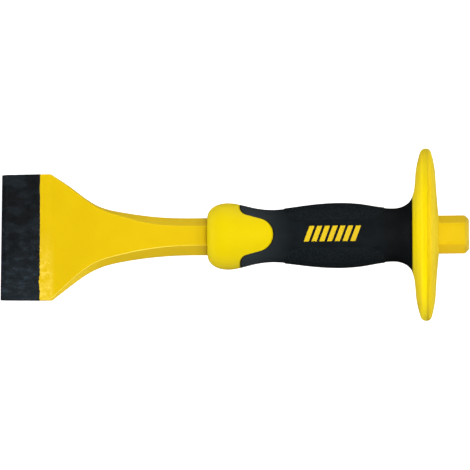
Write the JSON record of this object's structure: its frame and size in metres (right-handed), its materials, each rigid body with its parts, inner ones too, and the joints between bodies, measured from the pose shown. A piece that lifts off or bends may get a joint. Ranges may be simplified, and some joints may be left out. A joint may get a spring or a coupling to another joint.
{
  "type": "brick bolster chisel",
  "caption": "Flat, wide steel chisel for splitting bricks, with a hexagonal shank, a moulded soft grip and a round hand guard below the strike head.",
  "frame": {"origin": "middle of the cutting edge", "axes": "+X up the tool's axis towards the strike face, +Y along the cutting edge, +Z square to the blade's face"},
  "size_m": [0.254, 0.0934, 0.0935],
  "materials": {
    "painted_steel": "satin enamel over forged steel, cutting end dipped in black lacquer",
    "yellow_moulding": "smooth moulded, satin",
    "soft_black": "matte soft moulding with finely stippled side panels"
  },
  "bodies": {
    "root": {"chisel_forging": "painted_steel", "handle_core": "yellow_moulding", "hand_guard": "yellow_moulding", "soft_grip": "soft_black"}
  },
  "joints": []
}
